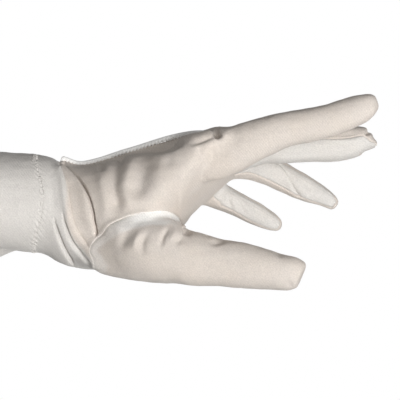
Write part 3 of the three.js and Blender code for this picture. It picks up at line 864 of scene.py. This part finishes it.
def folded_cloth():
    """The whole glove's outer side, cut along every seam and crease, with its signed fields."""
    points, triangles = base_form()
    coordinates = {name: on_limb(body, points) for name, body in LIMBS.items()}
    owners = nearest_limb(coordinates)
    normals = normals_of(points, triangles)
    values = {
        "mouth": points[:, X].copy(),
        "hem": beyond_line(points, HEM_LINE),
        "thumb": thumb_field(points),
    }
    for name, fork in FORKS.items():
        values[name] = fork_field(coordinates, fork, points)
    for name, (side, owner, path, ends, *_) in zip(CREASE_NAMES, CREASES):
        belongs = values["thumb"] > -1 if owner == "hand" else owners == owner
        values[name], values[name + "_fade"] = crease_field(points, normals, belongs, side, path, ends)
    hem_place = np.arctan2(coordinates["hand"]["over"], coordinates["hand"]["across"]) * HEM_RADIUS
    rise = fold_rise(points, normals, owners, -values["thumb"])
    for height, spacing, count, seed in RIPPLES:
        rise += height * waves(points, spacing, count, seed)
    rise += flare_rise(coordinates["hand"], points)
    rise += tent_rise(points, normals)
    rise += HEM_RISE * (1 - smooth_step(values["hem"], *HEM_STEP))
    pull = np.sin((hem_place - HEM_PULL["slant"] * values["hem"]) * 2 * math.pi / ZIGZAG["period"])
    rise += HEM_PULL["height"] * pull * ridge(values["hem"], 0, HEM_PULL["half_width"])
    values["rise"] = rise
    values["cuff_tone"] = cuff_tone(points)
    values["white"] = whiteness(points, normals, values)
    values.update(zip(NORMAL, normals.T))
    for name in CREASE_NAMES:
        for level in CREASE_CUTS:
            points, triangles = cut(points, triangles, values, name, level, reach=CREASE_REACH)
    for name, (_, _, _, _, *shape) in zip(CREASE_NAMES, CREASES):
        values["rise"] += crease_rise(values[name], values[name + "_fade"], *shape)
    facing = unit(np.stack([values.pop(key) for key in NORMAL], axis=1))
    points = points + facing * values.pop("rise")[:, None]
    for key in ["mouth", "hem", "thumb", *FORKS]:
        points, triangles = cut(points, triangles, values, key)
    triangles = triangles[~inside_of(values, "mouth", triangles)]
    return points, triangles, values


def split_pieces(triangles, values):
    """The triangles of each piece of cloth."""
    left = triangles
    parts = {}
    for name, key in [("cuff_hem", "hem"), ("thumb_piece", "thumb"), *[(name, name) for name in FORKS]]:
        inside = inside_of(values, key, left)
        parts[name] = left[inside]
        left = left[~inside]
    parts["trank"] = left
    return parts


def lip_rise(name, points, normals, values):
    """How a piece's edge lies up or down along its seams."""
    thumb, hem = np.abs(values["thumb"]), np.abs(values["hem"])
    pucker = waves(points, *PUCKERS)
    height, middle, width = HEM_EDGE
    rise = height * ridge(hem, middle, width)
    least = FLATTER_SEAM["least"]
    upper = least + (1 - least) * smooth_step(points[:, Z], *FLATTER_SEAM["z"])
    if name == "trank":
        height, middle, width = TRANK_LIP
        rise += (height + TRANK_PUCKER * pucker) * upper * ridge(thumb, middle, width)
    if name == "thumb_piece":
        edge = np.exp(-((thumb / THUMB_EDGE["half_width"]) ** THUMB_EDGE["sharpness"]))
        rise += (THUMB_EDGE["rise"] - THUMB_PUCKER * pucker) * upper * edge
        rise += THUMB_PUCKER * pucker * ridge(thumb, *SECOND_PUCKERS)
    for fork in FORKS:
        for height, middle, width in (STRIP_LIP, STRIP_EDGE):
            rise += height * ridge(np.abs(values[fork]), middle, width)
    return rise


# Pieces of cloth as objects

def compact(points, triangles, columns):
    """Only the points that the triangles use."""
    used, flat = np.unique(triangles, return_inverse=True)
    return points[used], flat.reshape(-1, 3), {name: column[used] for name, column in columns.items()}


def rim_edges(triangles):
    """Directed edges that only one triangle has."""
    pairs = sides_of(triangles)
    keys = np.sort(pairs, axis=1)
    _, where, counts = np.unique(keys, axis=0, return_inverse=True, return_counts=True)
    return pairs[counts[where.reshape(-1)] == 1]


def rim_loops(triangles):
    """The rim's points in order, one list for each closed loop."""
    following = {int(a): int(b) for a, b in rim_edges(triangles)}
    loops = []
    while following:
        start = next(iter(following))
        loop = [start]
        here = following.pop(start)
        while here != start and here in following:
            loop.append(here)
            here = following.pop(here)
        loops.append(loop)
    return loops


def decimated(points, triangles, ratio):
    thing = make_object("inner", points, triangles)
    fewer = thing.modifiers.new("fewer", "DECIMATE")
    fewer.ratio = ratio
    new_points, new_triangles = evaluated_arrays(thing)
    bpy.data.objects.remove(thing)
    return new_points, new_triangles


def with_thickness(points, triangles, normals, wall, ratio):
    """Adds the rim and the inner side: the fine outer side keeps its points first."""
    edges = rim_edges(triangles)
    used, flat = np.unique(edges, return_inverse=True)
    flat = flat.reshape(-1, 2)
    inner_rim = points[used] - normals[used] * wall
    upper, lower = edges, flat + len(points)
    rim = np.concatenate([
        np.stack([upper[:, 1], upper[:, 0], lower[:, 0]], 1),
        np.stack([upper[:, 1], lower[:, 0], lower[:, 1]], 1),
    ])
    inner_points, inner_triangles = points - normals * wall, triangles[:, ::-1]
    if ratio < 1:
        inner_points, inner_triangles = decimated(inner_points, inner_triangles, ratio)
    start = len(points) + len(inner_rim)
    return (
        np.concatenate([points, inner_rim, inner_points]),
        np.concatenate([triangles, rim, inner_triangles + start]),
    )


def smooth_object(name, points, triangles):
    thing = make_object(name, points, triangles)
    thing.data.polygons.foreach_set("use_smooth", np.ones(len(triangles), dtype=bool))
    return thing


def add_attribute(thing, name, values):
    """A number for each point; points past the list's end get zero."""
    column = np.zeros(len(thing.data.vertices), dtype=np.float32)
    column[: len(values)] = values
    attribute = thing.data.attributes.new(name, "FLOAT", "POINT")
    attribute.data.foreach_set("value", column)


def finish_piece(thing, node, material):
    thing.data.materials.append(material)
    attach(thing, "root")
    if node:
        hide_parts(node)
    return thing


def cloth_pieces(points, triangles, values, looks):
    """Makes every cloth object and returns each one's outer side and rim distances."""
    normals = normals_of(points, triangles)
    outer = {}
    for name, part in split_pieces(triangles, values).items():
        own, faces, kept = compact(points, part, {**values, **dict(zip(NORMAL, normals.T))})
        facing = np.stack([kept[key] for key in NORMAL], axis=1)
        own = own + facing * lip_rise(name, own, facing, kept)[:, None]
        wall = HEM_WALL if name == "cuff_hem" else WALL
        ratio = 1.0 if name == "cuff_hem" else INNER_SHARE
        thing = smooth_object(name + "_cloth", *with_thickness(own, faces, facing, wall, ratio))
        add_attribute(thing, "whiter", kept["white"])
        add_attribute(thing, "cuff_tone", kept["cuff_tone"])
        slot, material = looks[name]
        finish_piece(thing, name, material)
        outer[name] = {"points": own, "triangles": faces, "normals": facing, "values": kept}
    return outer


# Materials

# Colours, each with a warmer one for the cloth's mottling, and the threads' colours.
IVORY, IVORY_WARM = (0.710, 0.647, 0.592), (0.726, 0.654, 0.587)
WHITE, WHITE_WARM = (0.705, 0.681, 0.651), (0.725, 0.693, 0.653)
CUFF, CUFF_WARM = (0.715, 0.685, 0.650), (0.731, 0.694, 0.652)
BAND = (0.97, 0.95, 0.92)
TUCK_WHITE = (0.99, 0.98, 0.96)
HEM_THREAD, SEAM_THREAD, TUCK_THREAD = (0.67, 0.645, 0.615), (0.60, 0.56, 0.515), (0.90, 0.89, 0.87)

# The weave's ribs, the yarn across them and the yarn's own speckle. Columns: the values between which
# the cloth goes from light to dark, how light the dark is, the bump's height in metres and its strength.
WEAVE = {
    "rib": (0.0, 1.0, 0.965, 0.00009, 0.5),
    "yarn": (0.0, 1.0, 0.95, 0.00006, 0.6),
    "speckle": (0.33, 0.72, 0.83, 0.00012, 0.6),
}
RIB_SPACING, YARN_SPACING = 0.00115, 0.00042
RIB_TURN = {"tricot": 38, "side_strip": 60, "hem": 38}
YARN_TURN = 78

# Blender's waves are this long at scale 1.
WAVE_LENGTH = math.pi / 10
RIB_UNEVEN = {"Distortion": 1.4, "Detail": 2.0, "Detail Scale": 1.6}
SPECKLE_NOISE = {"Scale": 1500, "Detail": 2.0, "Roughness": 0.55}
MOTTLE_NOISE = {"Scale": 55, "Detail": 3.0, "Roughness": 0.55}
MOTTLE_STOPS = [(0.35, 0.0), (0.68, 1.0)]
MATT_CLOTH = {"Roughness": 0.8, "Specular IOR Level": 0.25, "Sheen Weight": 0.12, "Sheen Roughness": 0.5}


def node_of(tree, kind, **settings):
    node = tree.nodes.new(kind)
    for name, value in settings.items():
        setattr(node, name, value)
    return node


def set_inputs(node, settings):
    for name, value in settings.items():
        node.inputs[name].default_value = value


def noise_of(tree, place, settings):
    noise = node_of(tree, "ShaderNodeTexNoise")
    tree.links.new(place, noise.inputs["Vector"])
    set_inputs(noise, settings)
    return noise.outputs["Fac"]


def blended(tree, share, first, second, mode="MIX"):
    mix = node_of(tree, "ShaderNodeMix", data_type="RGBA", blend_type=mode)
    for socket, value in ((mix.inputs[0], share), (mix.inputs[6], first), (mix.inputs[7], second)):
        if isinstance(value, (tuple, list)):
            socket.default_value = (*value, 1.0)
        elif isinstance(value, float):
            socket.default_value = value
        else:
            tree.links.new(value, socket)
    return mix.outputs[2]


def ramp(tree, value, stops):
    node = node_of(tree, "ShaderNodeValToRGB")
    tree.links.new(value, node.inputs["Fac"])
    elements = node.color_ramp.elements
    while len(elements) < len(stops):
        elements.new(0.5)
    for element, (position, grey) in zip(elements, stops):
        element.position = position
        element.color = (grey, grey, grey, 1.0)
    return node.outputs["Color"]


def twill(tree, place, spacing, turn):
    """Fine slanting ribs, as the tricot has, a little uneven."""
    turned = node_of(tree, "ShaderNodeMapping")
    tree.links.new(place, turned.inputs["Vector"])
    set_inputs(turned, {"Rotation": (0.0, math.radians(turn), 0.0)})
    wave = node_of(tree, "ShaderNodeTexWave", wave_type="BANDS", bands_direction="X", wave_profile="SIN")
    tree.links.new(turned.outputs["Vector"], wave.inputs["Vector"])
    set_inputs(wave, {"Scale": WAVE_LENGTH / spacing, **RIB_UNEVEN})
    return wave.outputs["Fac"]


def bumped(tree, height, distance, strength, under=None):
    bump = node_of(tree, "ShaderNodeBump")
    set_inputs(bump, {"Strength": strength, "Distance": distance})
    tree.links.new(height, bump.inputs["Height"])
    if under is not None:
        tree.links.new(under, bump.inputs["Normal"])
    return bump.outputs["Normal"]


def cloth_material(name, base, warm, white):
    """Matt knitted cloth: slanting ribs, fine yarn, soft mottling and a little fuzz."""
    material = bpy.data.materials.new(name)
    material.use_nodes = True
    tree = material.node_tree
    shader = tree.nodes["Principled BSDF"]
    place = node_of(tree, "ShaderNodeTexCoord").outputs["Object"]
    patterns = {
        "rib": twill(tree, place, RIB_SPACING, RIB_TURN[name]),
        "yarn": twill(tree, place, YARN_SPACING, RIB_TURN[name] - YARN_TURN),
        "speckle": noise_of(tree, place, SPECKLE_NOISE),
    }
    mottle = noise_of(tree, place, MOTTLE_NOISE)
    like_cuff = node_of(tree, "ShaderNodeAttribute", attribute_name="cuff_tone").outputs["Fac"]
    whiter = node_of(tree, "ShaderNodeAttribute", attribute_name="whiter").outputs["Fac"]
    colour = blended(tree, ramp(tree, mottle, MOTTLE_STOPS), base, warm)
    colour = blended(tree, like_cuff, colour, CUFF)
    colour = blended(tree, whiter, colour, white)
    normal = None
    for kind, pattern in patterns.items():
        low, high, darkest, height, strength = WEAVE[kind]
        shade = ramp(tree, pattern, [(low, 1.0), (high, darkest)])
        colour = blended(tree, 1.0, colour, shade, "MULTIPLY")
        normal = bumped(tree, pattern, height, strength, normal)
    tree.links.new(colour, shader.inputs["Base Color"])
    tree.links.new(normal, shader.inputs["Normal"])
    set_inputs(shader, MATT_CLOTH)
    return material


def plain_material(name, colour):
    material = bpy.data.materials.new(name)
    material.use_nodes = True
    set_inputs(material.node_tree.nodes["Principled BSDF"], {"Base Color": (*colour, 1.0), "Roughness": 0.9})
    return material


# Camera, light and floor

CAMERA = {"place": (0.1105, -3.02, -0.0005), "lens": 513, "sensor": 36, "clip": (0.1, 60)}
FLOOR = {"half_side": 1.6, "middle_x": 0.1, "height": -0.6, "colour": (0.85, 0.85, 0.84)}
AMBIENT = {"Color": (1, 0.99, 0.975, 1), "Strength": 0.21}
WHITE_BEHIND = {"Color": (1, 1, 1, 1), "Strength": 1.0}
CENTRE = (0.1, 0.0, 0.0)

# Columns: name, place, size and power.
LIGHTS = [
    ("key", (1.0, -1.8, -0.48), 0.9, 46),
    ("fill", (0.2, -2.1, 0.3), 1.0, 8),
    ("back", (0.2, 2.0, 0.1), 1.2, 16),
]


def place_object(name, data, place, turn):
    thing = bpy.data.objects.new(name, data)
    thing.location = place
    thing.rotation_euler = turn
    bpy.context.scene.collection.objects.link(thing)
    return thing


def add_camera():
    camera = bpy.data.cameras.new("camera")
    camera.lens = CAMERA["lens"]
    camera.sensor_width = CAMERA["sensor"]
    camera.clip_start, camera.clip_end = CAMERA["clip"]
    bpy.context.scene.camera = place_object("camera", camera, CAMERA["place"], (math.radians(90), 0, 0))


def add_area_light(name, place, target, size, power):
    light = bpy.data.lights.new(name, "AREA")
    light.shape = "DISK"
    light.size = size
    light.energy = power
    towards = Vector(target) - Vector(place)
    place_object(name, light, place, towards.to_track_quat("-Z", "Y").to_euler())


def add_world():
    """White behind the object, and a weaker even light on it."""
    world = bpy.data.worlds.new("studio")
    bpy.context.scene.world = world
    world.use_nodes = True
    tree = world.node_tree
    tree.nodes.clear()
    seen = node_of(tree, "ShaderNodeBackground")
    set_inputs(seen, WHITE_BEHIND)
    light = node_of(tree, "ShaderNodeBackground")
    set_inputs(light, AMBIENT)
    rays = node_of(tree, "ShaderNodeLightPath")
    mix = node_of(tree, "ShaderNodeMixShader")
    tree.links.new(rays.outputs["Is Camera Ray"], mix.inputs[0])
    tree.links.new(light.outputs[0], mix.inputs[1])
    tree.links.new(seen.outputs[0], mix.inputs[2])
    tree.links.new(mix.outputs[0], node_of(tree, "ShaderNodeOutputWorld").inputs[0])


def add_floor():
    half = FLOOR["half_side"]
    corners = np.array([(-half, -half, 0), (half, -half, 0), (half, half, 0), (-half, half, 0)])
    corners += (FLOOR["middle_x"], 0, FLOOR["height"])
    floor = make_object("floor", corners / MM, [(0, 1, 2, 3)])
    floor.data.materials.append(plain_material("floor_paper", FLOOR["colour"]))


# Stitches

# A direction that no thread runs along.
ASKEW = (0.13, 0.37, 0.92)

# A piece's rim loop lies on a seam if most of its points do and it isn't a crumb.
SEAM_LOOP = {"share": 0.6, "points": 20}


def tubes(paths, radius, sides=6):
    """One mesh of round threads, each along a short path of points, with closed ends."""
    points, faces = [], []
    for path in paths:
        path = np.asarray(path, float)
        along = unit(np.gradient(path, axis=0))
        start = len(points)
        for centre, ahead in zip(path, along):
            side = np.cross(ahead, ASKEW)
            side /= np.linalg.norm(side)
            up = np.cross(ahead, side)
            for k in range(sides):
                turn = 2 * math.pi * k / sides
                points.append(centre + radius * (math.cos(turn) * side + math.sin(turn) * up))
        faces += tube_faces(len(path), sides, start)
    return points, faces


def thread_object(name, paths, radius, material):
    points, faces = tubes(paths, radius)
    thing = smooth_object(name, points, faces)
    return finish_piece(thing, None, material)


def resampled(path, spacing):
    """A closed path as evenly spaced points."""
    closed = np.vstack([path, path[:1]])
    travelled = np.concatenate([[0], np.cumsum(np.linalg.norm(np.diff(closed, axis=0), axis=1))])
    count = max(int(round(travelled[-1] / spacing)), 4)
    wanted = np.arange(count) * travelled[-1] / count
    return np.stack([np.interp(wanted, travelled, closed[:, k]) for k in range(3)], axis=1)


class Surface:
    """Finds the cloth's outer side under a point."""

    def __init__(self, parts):
        points = np.concatenate([part["points"] for part in parts])
        starts = np.cumsum([0] + [len(part["points"]) for part in parts[:-1]])
        triangles = np.concatenate([part["triangles"] + start for part, start in zip(parts, starts)])
        self.tree = BVHTree.FromPolygons(points.tolist(), triangles.tolist())

    def over(self, point, lift):
        """The nearest place of the cloth, lifted along its normal."""
        place, normal, _, _ = self.tree.find_nearest(Vector(point))
        return np.array(place) + np.array(normal) * lift, np.array(normal)


def seam_paths(part, key):
    """The rim loops of a piece that lie on one seam, as points."""
    on_seam = np.abs(part["values"][key]) < 1e-6
    found = []
    for loop in rim_loops(part["triangles"]):
        loop = np.array(loop)
        if on_seam[loop].mean() > SEAM_LOOP["share"] and len(loop) > SEAM_LOOP["points"]:
            found.append(part["points"][loop])
    return found


def directions(places):
    """Which way a closed path runs at each of its points."""
    return unit(np.roll(places, -1, axis=0) - np.roll(places, 1, axis=0))


def zigzag_stitches(surface, loop):
    half = ZIGZAG["period"] / 2
    corners = resampled(loop, half)
    corners = corners[: len(corners) // 2 * 2]
    placed = []
    for i, (point, along) in enumerate(zip(corners, directions(corners))):
        _, normal = surface.over(point, 0)
        aside = np.cross(normal, along)
        placed.append(point + aside * ZIGZAG["reach"] * (1 if i % 2 else -1))
    lifts = ZIGZAG["radius"] * np.array(ZIGZAG["lifts"])
    shares = np.linspace(ZIGZAG["inset"], 1 - ZIGZAG["inset"], len(lifts))
    stitches = []
    for first, last in zip(placed, placed[1:] + placed[:1]):
        stitches.append([
            surface.over(first + (last - first) * share, lift)[0] for share, lift in zip(shares, lifts)
        ])
    return stitches


def seam_stitches(surface, loop):
    """Small threads that cross a seam's groove."""
    places = resampled(loop, SEAM_STITCH["period"])
    stitches = []
    for point, along in zip(places, directions(places)):
        _, normal = surface.over(point, 0)
        aside = unit(np.cross(normal, along) + along * SEAM_STITCH["slant"]) * SEAM_STITCH["reach"]
        ends = [point - aside, point, point + aside]
        stitches.append([surface.over(end, lift)[0] for end, lift in zip(ends, SEAM_STITCH["lifts"])])
    return stitches


# The tuck along the back: a narrow pinched rib, overcast along its lower edge

TUCK_STEP = 0.28

# The rib's top comes up over its first stretch and sinks from some x on, by a set drop, and lies a
# little towards the thumb from the hand's highest line.
TUCK_RISES, TUCK_SINKS_FROM, TUCK_DROP = 1.6, 112, 1.6
TUCK_ASIDE = 0.2

# The rib's section: across it (towards the thumb is negative) and up from its top.
TUCK_SECTION = [
    (-0.5, -2.8), (-1.2, -2.6), (-1.75, -2.1), (-1.98, -1.5), (-2.0, -0.95), (-1.86, -0.45), (-1.5, -0.12),
    (-0.8, 0), (0, -0.05), (0.6, -0.35), (0.9, -0.9), (1.0, -1.5), (1.0, -2.2), (0.5, -2.8),
]


def tuck_frame(x):
    """Points along the tuck's top, at some places along X."""
    ends = smooth_step(x, TUCK_START, TUCK_START + TUCK_RISES)
    ends *= 1 - smooth_step(x, TUCK_SINKS_FROM, TUCK_END)
    top = smooth_path(TUCK_TOP, 160)
    height = np.interp(x, top[:, 0], top[:, 1]) - (1 - ends) * TUCK_DROP
    return np.stack([x, top_line(x) - TUCK_ASIDE, height], axis=1)


def tuck_point(x, across, up):
    return tuck_frame(np.array([x]))[0] + np.array([0, across, up])


# How the overcast stitches draw the rib's lower edge in and up, and their route over that edge.
SCALLOP = {"begins": -1.3, "full": 1.1, "swell": 0.16, "drop": 0.4}
OVERCAST_ROUTE = [(-1.35, -2.7), (-1.72, -2.3), (-1.95, -1.85), (-2.02, -1.5)]


def add_tuck(material, thread):
    x = np.arange(TUCK_START, TUCK_END, TUCK_STEP)
    ripple = np.cos(x * 2 * math.pi / OVERCAST["period"])
    points = []
    for top, wave in zip(tuck_frame(x), ripple):
        for across, up in TUCK_SECTION:
            low = min(max(SCALLOP["begins"] - up, 0) / SCALLOP["full"], 1) * wave
            shift = np.array([0, across * (1 + SCALLOP["swell"] * low), up - SCALLOP["drop"] * low])
            points.append(top + shift)
    rib = smooth_object("back_tuck_rib", points, tube_faces(len(x), len(TUCK_SECTION)))
    add_attribute(rib, "whiter", np.ones(len(points)))
    finish_piece(rib, "back_tuck", material)
    lean = np.linspace(0, OVERCAST["lean"], len(OVERCAST_ROUTE))
    first, last = TUCK_START + OVERCAST["after_start"], TUCK_END - OVERCAST["before_end"]
    stitches = [
        [tuck_point(start + shift, across, up) for shift, (across, up) in zip(lean, OVERCAST_ROUTE)]
        for start in np.arange(first, last, OVERCAST["period"])
    ]
    thread_object("back_tuck_stitches", stitches, OVERCAST["radius"], thread)


# The whole scene

tricot = cloth_material("tricot", IVORY, IVORY_WARM, BAND)
side_strip = cloth_material("side_strip", WHITE, WHITE_WARM, WHITE)
hem_cloth = cloth_material("hem", CUFF, CUFF_WARM, TUCK_WHITE)
hem_thread = plain_material("hem_thread", HEM_THREAD)
seam_thread = plain_material("seam_thread", SEAM_THREAD)
tuck_thread = plain_material("tuck_thread", TUCK_THREAD)
LOOKS = {
    "trank": ("tricot", tricot),
    "thumb_piece": ("tricot", tricot),
    "cuff_hem": ("hem", hem_cloth),
    **{name: ("side_strip", side_strip) for name in FORKS},
}

points, triangles, values = folded_cloth()
outer = cloth_pieces(points, triangles, values, LOOKS)
surface = Surface(list(outer.values()))

hem_loops = seam_paths(outer["cuff_hem"], "hem")
zigzag = [stitch for loop in hem_loops for stitch in zigzag_stitches(surface, loop)]
thread_object("hem_stitches", zigzag, ZIGZAG["radius"], hem_thread)
for name, key in [("thumb_piece", "thumb"), *[(name, name) for name in FORKS]]:
    paths = [stitch for loop in seam_paths(outer[name], key) for stitch in seam_stitches(surface, loop)]
    thread_object(name + "_stitches", paths, SEAM_STITCH["radius"], seam_thread)
add_tuck(hem_cloth, tuck_thread)

add_camera()
add_world()
add_floor()
for name, place, size, power in LIGHTS:
    add_area_light(name, place, CENTRE, size, power)
bpy.context.scene.view_settings.view_transform = "Standard"
